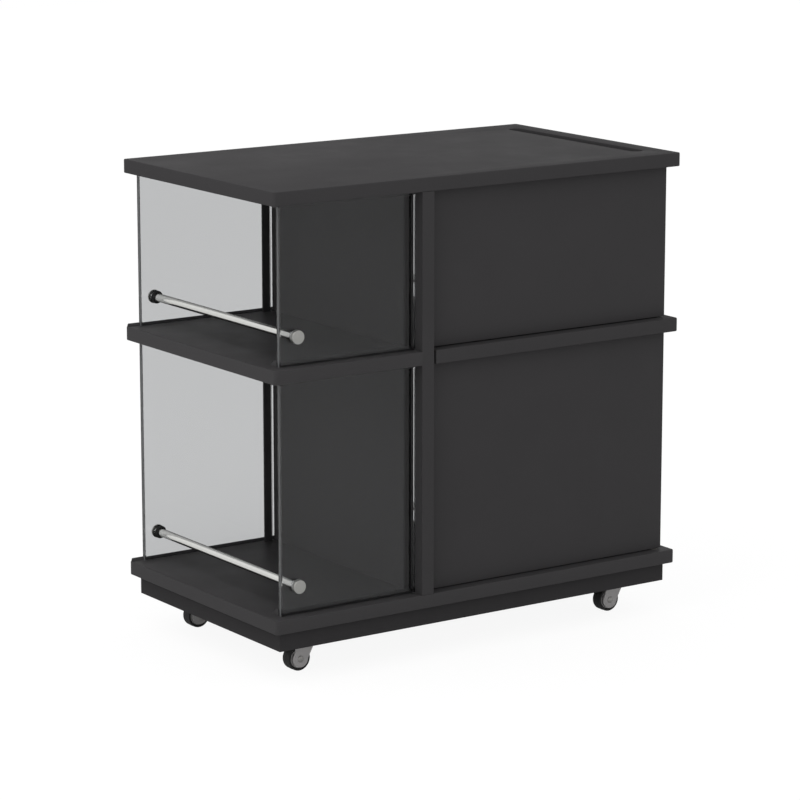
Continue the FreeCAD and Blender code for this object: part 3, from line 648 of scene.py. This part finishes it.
@dataclass
class Sheets:
    """The four clear panels beside the open bays, with the beads and ledges that hold them."""

    arris: float = 0.6 * MM  # width of the polished arrises
    margin: float = 2.6 * MM  # polished edge on both sides of the outer end's ground band
    clear: float = 0.5 * MM  # gap between a panel's bore and the rod
    ease: float = 0.25 * MM  # gap between a panel and what it stands against
    steps: int = 64  # number of facets round the bore
    touch: float = 0.1  # share of a width within which a face is on the ground band
    ledge: Pair = (6 * MM, 3.5 * MM)  # depth and height of the ledge behind a rear panel
    crest: float = 1.5 * MM  # depth of the ledge's flat crest
    cut: float = 4.8 * MM  # how much of the ledge's outer rear corner is cut off at its foot
    nib: float = 0.3 * MM  # the same at its crest
    bead: Triple = (7 * MM, 5 * MM, 3 * MM)  # height of a front bead, lean of its front and ends
    lip: float = 0.5 * MM  # height of a ledge's or bead's upright foot, below its slope
    rear_strip: Triple = (12 * MM, 3 * MM, 7 * MM)  # width, depth, gap to the divider
    front_shade_strip: Triple = (10.5 * MM, 3 * MM, 4.5 * MM)  # the same of the front strip, near black: painted shade by the divider
    strip_arris: float = 0.4 * MM  # radius of a strip's softened arrises

    def build(self) -> None:
        """Makes the four panels, the front ones' beads and the ledges behind the rear ones."""
        for level in ("upper", "lower"):
            self.front_beads("bead_front_" + level)
            self.rear_ledge("bead_rear_" + level)
            for side in ("front", "rear"):
                self.sheet(f"glass_{side}_{level}", level)

    def sheet(self, node: str, level: str) -> None:
        """Makes one panel; light passes it without a shadow, as through a thin clear sheet.

        Args:
            node: the CAD node that it stands for.
            level: the bay's name, for its guard rod.
        """
        gap = Vector((0.0, self.ease, self.ease))
        low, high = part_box(node)
        low, high = low + gap, high - gap
        rod_low, rod_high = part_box("rod_" + level)
        middle, bore = (rod_low + rod_high) / 2, (rod_high.x - rod_low.x) / 2 + self.clear
        mesh = bmesh.new()
        depths = [(self.arris, low.y), (0.0, low.y + self.arris), (0.0, low.y + self.margin),
                  (0.0, high.y - self.margin), (0.0, high.y - self.arris), (self.arris, high.y)]
        turns = [2 * math.pi * i / self.steps for i in range(self.steps)]
        rims, mouths = [], []
        for inset, y in depths:
            rims.append([mesh.verts.new((x, y, z)) for x, z in oblong(
                (low.x + inset, low.z + inset), (high.x - inset, high.z - inset))])
            mouths.append([mesh.verts.new((middle.x + (bore + inset) * math.cos(t), y,
                                           middle.z + (bore + inset) * math.sin(t)))
                           for t in turns])
        bridge(mesh, rims)
        bridge(mesh, mouths)
        fill_between(mesh, rims[0], mouths[0])
        fill_between(mesh, rims[-1], mouths[-1])
        for face in mesh.faces:
            spot = face.calc_center_median()
            at_end = spot.x < low.x + self.touch * self.arris
            if at_end and abs(spot.y - (low.y + high.y) / 2) < self.touch * self.margin:
                face.material_index = 1
        piece = new_piece(node + "_polished", mesh, TINTED_SHEET, "trolley", node,
                          (GROUND_END,))
        piece.visible_shadow = False

    def rear_ledge(self, node: str) -> None:
        """Makes the low sloped ledge behind a rear panel, and the strip near the divider.

        Args:
            node: the CAD node that they stand for.
        """
        low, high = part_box(node)
        depth, rise = self.ledge
        left, right, rear = low.x, high.x, high.y
        front, back = rear - depth, rear - self.crest
        corner, turn = left + self.cut, left + self.cut - self.crest
        foot = [(left, front), (right, front), (right, rear), (corner, rear),
                (left, rear - self.cut)]
        crest = [(turn, back), (right, back), (right, rear), (corner, rear),
                 (turn + self.nib, back + self.nib)]
        mesh = bmesh.new()
        self.bar(mesh, foot, crest, low.z, rise)
        wide, deep, gap = self.rear_strip
        self.upright(mesh, (right - gap - wide, low.y), (right - gap, low.y + deep),
                     (low.z, high.z))
        new_piece(node + "_sloped", mesh, LACQUER, "trolley", node)

    def front_beads(self, node: str) -> None:
        """Makes the sloped beads at a front panel's foot and head, and the near-black strip
        between, painted shade by the divider.

        Args:
            node: the CAD node that they stand for.
        """
        low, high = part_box(node)
        tall, lean, end = self.bead
        foot = oblong(low, high)
        crest = oblong((low.x + end, low.y + lean), (high.x, high.y - end))
        mesh = bmesh.new()
        self.bar(mesh, foot, crest, low.z, tall)
        self.bar(mesh, foot, crest, high.z, -tall)
        beads = set(mesh.faces)
        wide, deep, gap = self.front_shade_strip
        self.upright(mesh, (high.x - gap - wide, low.y), (high.x - gap, low.y + deep),
                     (low.z + tall, high.z - tall))
        # the strip takes the near-black lacquer, painted shade of the corner by the divider
        for face in set(mesh.faces) - beads:
            face.material_index = 1
        new_piece(node + "_sloped", mesh, SHELF_LACQUER, "trolley", node,
                  (SHADE_STRIP_LACQUER,))

    def bar(self, mesh: Mesh, foot: Sequence[Pair], crest: Sequence[Pair],
            base: float, rise: float) -> None:
        """Adds a bar that slopes in from its foot to its crest.

        Args:
            mesh: the working mesh.
            foot: the outline that it stands on.
            crest: the outline at its far side.
            base: height of the foot.
            rise: how far the crest is above the foot, or below it if negative.
        """
        lip = math.copysign(self.lip, rise)
        rings = [ring_of(mesh, points, base + up)
                 for points, up in ((foot, 0.0), (foot, lip), (crest, rise))]
        bridge(mesh, rings)
        mesh.faces.new(rings[0])
        mesh.faces.new(rings[-1])

    def upright(self, mesh: Mesh, near: Pair, far: Pair, span: Pair) -> None:
        """Adds an upright strip between two corners of its outline and two heights."""
        outline = Outline(oblong(near, far), [0.0] * 4, [1.0] * 4)
        slab(mesh, outline, span[0], span[1], self.strip_arris)


@dataclass
class GuardRods:
    """The two bright rods across the open end, with end knobs and rubber washers."""

    bevel: float = 0.6 * MM  # chamfer at a rod's end
    chamfer: float = 0.8 * MM  # chamfer of a knob's outer rim
    rim: float = 1.2 * MM  # rounding of a knob's rim
    washer: float = 0.5 * MM  # rounding of a washer
    clear: float = 0.06 * MM  # gap between a washer's bore and its rod
    facets: int = 48  # number of facets round a rod

    def build(self) -> None:
        """Makes both rods, their knobs and all the washers."""
        mesh = bmesh.new()
        for level in ("upper", "lower"):
            self.rod(level)
            self.knobs(level)
            self.washers(level, mesh)
        new_piece("rod_washers_moulded", mesh, RUBBER, "trolley", "rod_washers")

    @staticmethod
    def line(level: str) -> tuple[Vector, Vector, float]:
        """Finds a rod's axis.

        Args:
            level: the bay's name.

        Returns:
            Its front end, its rear end and its radius.
        """
        low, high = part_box("rod_" + level)
        x, z = (low.x + high.x) / 2, (low.z + high.z) / 2
        return Vector((x, low.y, z)), Vector((x, high.y, z)), (high.x - low.x) / 2

    def rod(self, level: str) -> None:
        """Makes one rod.

        Args:
            level: the bay's name.
        """
        start, end, radius = self.line(level)
        length = (end - start).length
        profile = [(0.0, 0.0), (radius - self.bevel, 0.0), (radius, self.bevel),
                   (radius, length - self.bevel), (radius - self.bevel, length), (0.0, length)]
        mesh = bmesh.new()
        lathe(mesh, profile, start, Axis.REAR, self.facets)
        new_piece(f"rod_{level}_turned", mesh, BRIGHT_STEEL, "trolley",
                  "rod_" + level)

    def knobs(self, level: str) -> None:
        """Makes the disc knob at the front of one rod and the flat nut at its rear.

        Args:
            level: the bay's name.
        """
        start, end, _ = self.line(level)
        low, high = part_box("rod_knobs_" + level)
        mesh, radius = bmesh.new(), (high.x - low.x) / 2
        lathe(mesh, self.disc(radius, start.y - low.y), start, Axis.FRONT)
        lathe(mesh, self.disc(radius, high.y - end.y), end, Axis.REAR)
        new_piece(f"rod_knobs_{level}_turned", mesh, SATIN_STEEL, "trolley",
                  "rod_knobs_" + level)

    def disc(self, radius: float, thick: float) -> list[Pair]:
        """Gives the half section of a disc with a rounded outer rim."""
        cut = self.chamfer
        return soften([(0.0, 0.0), (radius, 0.0), (radius, thick - cut), (radius - cut, thick),
                       (0.0, thick)], self.rim)

    def washers(self, level: str, mesh: Mesh) -> None:
        """Adds the washer of one rod, on the rear panel's inner face.

        Args:
            level: the bay's name.
            mesh: the working mesh.
        """
        start, _, radius = self.line(level)
        low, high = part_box("rod_washers")
        outer, thick, bore = (high.x - low.x) / 2, high.y - low.y, radius + self.clear
        section = soften([(bore, 0.0), (outer, 0.0), (outer, thick), (bore, thick)], self.washer)
        section.append(section[0])
        lathe(mesh, section, Vector((start.x, low.y, start.z)), Axis.REAR)


@dataclass
class Fixings:
    """The screws and cam caps that show from behind, from below and with the fronts open."""

    head: float = 3.6 * MM  # radius of a screw's head
    cam: float = 7.5 * MM  # radius of a cam lock's cap
    proud: float = 0.7 * MM  # how far a head or cap stands out of its board
    edge: float = 11 * MM  # distance from a board's edge to its screws
    socket: Pair = (0.34, 0.9)  # radius of a socket, as a share of its head, and of its floor
    pit: float = 0.15  # height of a socket's floor, as a share
    crown: Pair = (0.8, 0.4)  # radius of a head's flat top and height of its rim, as shares
    rim: float = 0.4 * MM  # rounding of the rim
    facets: int = 24  # number of facets round a head
    rows: Triple = (0.35, 0.5, 0.65)  # where the screws under an upright are, as shares
    cam_rows: Pair = (0.35, 0.8)  # where the cam caps are, as shares of the drawer side's height

    def build(self) -> None:
        """Puts the fixings on the back panels, the bottom board, the drawer and the door."""
        screws, caps, strike = bmesh.new(), bmesh.new(), bmesh.new()
        for node in ("back_panel_upper", "back_panel_lower"):
            self.back(node, screws)
        self.under(screws)
        self.cams(caps)
        low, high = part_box("door_strike")
        middle = (low + high) / 2
        self.dome(strike, Vector((middle.x, high.y, middle.z)), Axis.REAR, self.head)
        new_piece("board_screws", screws, ZINC, "trolley")
        new_piece("drawer_cam_caps", caps, LATCH_PLASTIC, "drawer")
        new_piece("door_strike_screw", strike, ZINC, "door")

    def dome(self, mesh: Mesh, at: Vector, axis: Axis, radius: float) -> None:
        """Adds a low round head with a round socket.

        Args:
            mesh: the working mesh.
            at: the middle of its seat.
            axis: the way that it faces.
            radius: its radius.
        """
        socket, pit = self.socket[0] * radius, self.pit * self.proud
        rim = soften([(socket, self.proud), (self.crown[0] * radius, self.proud),
                      (radius, self.crown[1] * self.proud), (radius, 0.0)], self.rim)
        section = [(0.0, pit), (self.socket[1] * socket, pit), *rim, (0.0, 0.0)]
        lathe(mesh, section, at, axis, self.facets)

    def back(self, node: str, mesh: Mesh) -> None:
        """Adds the screws round the edge of a back panel.

        Args:
            node: the panel's CAD node.
            mesh: the working mesh.
        """
        low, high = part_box(node)
        columns = [low.x + self.edge, (low.x + high.x) / 2, high.x - self.edge]
        rows = [low.z + self.edge, (low.z + high.z) / 2, high.z - self.edge]
        for i, x in enumerate(columns):
            for j, z in enumerate(rows):
                if (i, j) != (1, 1):
                    self.dome(mesh, Vector((x, high.y, z)), Axis.REAR, self.head)

    def under(self, mesh: Mesh) -> None:
        """Adds the screws that go up through the bottom board into the uprights.

        Args:
            mesh: the working mesh.
        """
        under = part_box("bottom_board")[0].z
        for node in ("divider_panel", "side_panel_lower"):
            low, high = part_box(node)
            for share in self.rows:
                y = low.y + share * (high.y - low.y)
                self.dome(mesh, Vector(((low.x + high.x) / 2, y, under)), Axis.DOWN, self.head)

    def cams(self, mesh: Mesh) -> None:
        """Adds the cam caps inside the drawer that hold its front.

        Args:
            mesh: the working mesh.
        """
        for node, axis in (("drawer_side_left", Axis.RIGHT), ("drawer_side_right", Axis.LEFT)):
            low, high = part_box(node)
            x = high.x if axis is Axis.RIGHT else low.x
            for rise in self.cam_rows:
                z = low.z + rise * (high.z - low.z)
                self.dome(mesh, Vector((x, low.y + 2 * self.edge, z)), axis, self.cam)


@dataclass
class Casters:
    """Four casters: rubber tyre, nylon hub, riveted axle and plate screws."""

    shoulder: float = 2.4 * MM  # rounding of the tyre's shoulders
    parting: float = 0.25 * MM  # height of the mould's parting line round the tyre
    ridge: Pair = (0.5 * MM, 0.2 * MM)  # half the width of that line at its foot and crest
    bevel: Pair = (1.6 * MM, 1.2 * MM)  # width and depth of the tyre's bevel at the hub
    web: Triple = (3.06 * MM, 6 * MM, 2.5 * MM)  # radius of bore and boss, width of the rim
    dish: Triple = (3.5 * MM, 0.8 * MM, 1 * MM)  # depth of the web, lean of both its walls
    soft: float = 0.9 * MM  # rounding of the hub's edges
    facets: tuple[int, int, int] = (96, 36, 24)  # facets round a wheel, an axle and a screw
    rivet: Pair = (3 * MM, 1.5 * MM)  # radius of the axle between its heads and height of a head
    steps: tuple[int, int] = (8, 6)  # facets across a tyre's shoulder and half a rivet head
    plate: float = 2 * MM  # thickness of a caster's plate
    screw: Pair = (4.2 * MM, 2.6 * MM)  # radius of a plate screw's head and of its flat top
    pan: Triple = (1.9 * MM, 0.7 * MM, 0.6 * MM)  # height of that head and of its rim, rounding
    pitch: float = 35 * MM  # distance between the plate's screws
    race: float = 18 * MM  # radius of the fork's crown about the swivel axis

    def build(self) -> None:
        """Makes every caster's wheel and axle, and the screws of all the plates."""
        corners = [name[len("caster_tyre_"):] for name in nodes_like("caster_tyre_")]
        screws = bmesh.new()
        for corner in sorted(corners):
            self.tyre(corner)
            self.hub(corner)
            self.axle(corner)
            self.plate_screws(corner, screws)
        new_piece("caster_plate_screws", screws, ZINC, "trolley")

    @staticmethod
    def span(node: str) -> tuple[Vector, float, float]:
        """Measures a piece of a wheel.

        Args:
            node: its CAD node.

        Returns:
            Its near end on its axis, its radius and its width.
        """
        low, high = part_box(node)
        middle = (low + high) / 2
        return Vector((middle.x, low.y, middle.z)), (high.z - low.z) / 2, high.y - low.y

    def tyre(self, corner: str) -> None:
        """Makes a tyre with round shoulders and a faint parting line.

        Args:
            corner: the caster's corner.
        """
        node = "caster_tyre_" + corner
        at, radius, width = self.span(node)
        _, rim, _ = self.span("caster_hub_" + corner)
        half = width / 2
        tread = radius - self.parting
        wide, deep = self.bevel
        outside = soften([(rim, deep), (rim + wide, 0.0), (tread, 0.0), (tread, half)],
                         self.shoulder, self.steps[0])
        outside.insert(-1, (tread, half - self.ridge[0]))
        outside[-1] = (radius, half - self.ridge[1])
        section = outside + mirrored(outside, width) + [outside[0]]
        mesh = bmesh.new()
        lathe(mesh, section, at, Axis.REAR, self.facets[0])
        new_piece(node + "_moulded", mesh, RUBBER, "wheel_" + corner, node)

    def hub(self, corner: str) -> None:
        """Makes a hub with a dished web, a rim lip and a boss.

        Args:
            corner: the caster's corner.
        """
        node = "caster_hub_" + corner
        at, rim, width = self.span(node)
        bore, boss, wall = self.web
        dish, inner, outer = self.dish
        inside = rim - wall
        near = soften([(bore, 0.0), (boss, 0.0), (boss + inner, dish), (inside - outer, dish),
                       (inside, 0.0), (rim, 0.0), (rim, width / 2)], self.soft)
        section = near + mirrored(near, width) + [near[0]]
        mesh = bmesh.new()
        lathe(mesh, section, at, Axis.REAR, self.facets[0])
        new_piece(node + "_moulded", mesh, GREY_NYLON, "wheel_" + corner, node)

    def axle(self, corner: str) -> None:
        """Makes an axle with a domed rivet head at both ends.

        Args:
            corner: the caster's corner.
        """
        node = "caster_axle_" + corner
        at, head, length = self.span(node)
        shaft, dome = self.rivet
        turns = [QUARTER * k / self.steps[1] for k in range(self.steps[1] + 1)]
        near = [(head * math.sin(t), dome * (1 - math.cos(t))) for t in turns]
        near.append((shaft, dome))
        mesh = bmesh.new()
        lathe(mesh, near + mirrored(near, length), at, Axis.REAR, self.facets[1])
        new_piece(node + "_riveted", mesh, DULL_STEEL, "caster_" + corner, node)

    def plate_screws(self, corner: str, mesh: Mesh) -> None:
        """Adds the four pan-head screws that hold one plate.

        Args:
            corner: the caster's corner.
            mesh: the working mesh.
        """
        low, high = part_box("caster_fork_" + corner)
        centre = Vector((high.x - self.race, (low.y + high.y) / 2, 0.0))
        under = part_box("caster_blocks")[0].z - self.plate
        wide, flat = self.screw
        tall, rim, soft = self.pan
        head = soften([(0.0, tall), (flat, tall), (wide, rim), (wide, 0.0), (0.0, 0.0)], soft)
        for x in (-self.pitch / 2, self.pitch / 2):
            for y in (-self.pitch / 2, self.pitch / 2):
                spot = Vector((centre.x + x, centre.y + y, under))
                lathe(mesh, head, spot, Axis.DOWN, self.facets[2])


@dataclass
class Studio:
    """The camera of the photograph, the pale floor and the soft lights."""

    lens: float = 150.78  # focal length in millimetres
    sensor: float = 36.0  # width of the camera's frame in millimetres
    eye: Triple = (-2.7418, -3.9629, 1.3533)  # the camera's place in metres
    down: float = 11.9625  # how far it looks down, in degrees
    aside: float = 34.6131  # how far it looks to the right of straight ahead, in degrees
    sight: float = 60.0  # the greatest distance that it sees, in metres
    ambient: Pair = (0.9, 1.0)  # strength of the surround's light, and of its white
    glow: float = 1.04  # strength of the floor's plain white
    shares: Pair = (0.88, 0.25)  # how much of that white direct and passed-on rays see
    ground: Triple = (9.0, 0.02, 1 * MM)  # the floor's half side, thickness and arris

    def build(self) -> None:
        """Makes the camera, the world, the floor and the lamps."""
        self.camera()
        self.world()
        self.floor()
        self.lamp("overhead_softbox", at=(-1.1, -0.2, 1.9), target=(-0.2, 0.0, 0.6), size=1.0,
                  power=5.0)
        self.lamp("left_softbox", at=(-2.6, -0.6, 1.5), target=(0.0, 0.0, 0.4), size=1.8,
                  power=8.0)
        bpy.context.scene.view_settings.view_transform = "Standard"

    def camera(self) -> None:
        """Puts the camera where the photograph was taken from."""
        data = bpy.data.cameras.new("photo_camera")
        data.lens = self.lens
        data.sensor_width = self.sensor
        data.clip_end = self.sight
        camera = bpy.data.objects.new("photo_camera", data)
        camera.location = self.eye
        camera.rotation_euler = (math.radians(90 - self.down), 0.0, math.radians(-self.aside))
        bpy.context.scene.collection.objects.link(camera)
        bpy.context.scene.camera = camera

    @staticmethod
    def seen(tree: Tree, direct: float, passed: float) -> Socket:
        """Finds the share of plain white that a ray is to see, by its kind.

        Args:
            tree: the node tree to add to.
            direct: share for the camera's own rays.
            passed: share for the rays that metal or glass sends on.

        Returns:
            The socket that holds the share.
        """
        path = add_node(tree, "LightPath")
        shares = {Ray.CAMERA: direct, Ray.GLOSSY: passed, Ray.TRANSMISSION: passed}
        total: Any = 0.0
        for ray, share in shares.items():
            part = add_node(tree, "Math", {0: path.outputs[ray.value], 1: share},
                            {"operation": "MULTIPLY"})
            total = add_node(tree, "Math", {0: part.outputs[0], 1: total},
                             {"operation": "MAXIMUM"}).outputs[0]
        return total

    def world(self) -> None:
        """Makes the white surround and the soft light that it gives."""
        world = bpy.data.worlds.new("soft_studio")
        tree = empty_tree(world)
        light, white = (
            add_node(tree, "Background", {"Color": linear("#ffffff"), "Strength": each})
            for each in self.ambient)
        mixed = add_node(tree, "MixShader", {
            0: self.seen(tree, 1.0, 1.0), 1: light.outputs[0], 2: white.outputs[0]})
        add_node(tree, "OutputWorld", {"Surface": mixed.outputs[0]})
        bpy.context.scene.world = world

    def floor(self) -> None:
        """Makes the plain pale floor, which keeps a soft shadow."""
        mesh = bmesh.new()
        reach, thick, arris = self.ground
        corners = oblong((-reach, -reach), (reach, reach))
        slab(mesh, Outline(corners, [0.0] * 4, [0.0] * 4), -thick, 0.0, arris)
        bmesh.ops.recalc_face_normals(mesh, faces=mesh.faces)
        data = bpy.data.meshes.new("studio_floor")
        mesh.to_mesh(data)
        mesh.free()
        made = bpy.data.materials.new("pale_studio_floor")
        tree = empty_tree(made)
        matt = add_node(tree, "BsdfDiffuse", {"Color": linear("#f2f2f2")})
        glow = add_node(tree, "Emission", {"Color": linear("#ffffff"), "Strength": self.glow})
        mixed = add_node(tree, "MixShader", {
            0: self.seen(tree, *self.shares), 1: matt.outputs[0], 2: glow.outputs[0]})
        add_node(tree, "OutputMaterial", {"Surface": mixed.outputs[0]})
        data.materials.append(made)
        floor = bpy.data.objects.new("studio_floor", data)
        bpy.context.scene.collection.objects.link(floor)

    @staticmethod
    def lamp(name: str, at: Triple, target: Triple, size: float, power: float) -> None:
        """Adds a soft square lamp.

        Args:
            name: its name.
            at: its place in metres.
            target: the point that it faces.
            size: its side in metres.
            power: its power in watts.
        """
        data = bpy.data.lights.new(name, "AREA")
        data.energy = power
        data.size = size
        lamp = bpy.data.objects.new(name, data)
        lamp.location = at
        way = Vector(target) - Vector(at)
        lamp.rotation_euler = way.to_track_quat("-Z", "Y").to_euler()
        bpy.context.scene.collection.objects.link(lamp)


def main() -> None:
    """Dresses the trolley, assembly by assembly, and lights it."""
    logging.basicConfig(level=logging.INFO, format="%(name)s: %(message)s")
    for assembly in (Boards(), Panels(), Sheets(), GuardRods(), Fixings(), Casters(), Studio()):
        LOG.info("building %s", type(assembly).__name__)
        assembly.build()


if __name__ == "__main__":
    main()
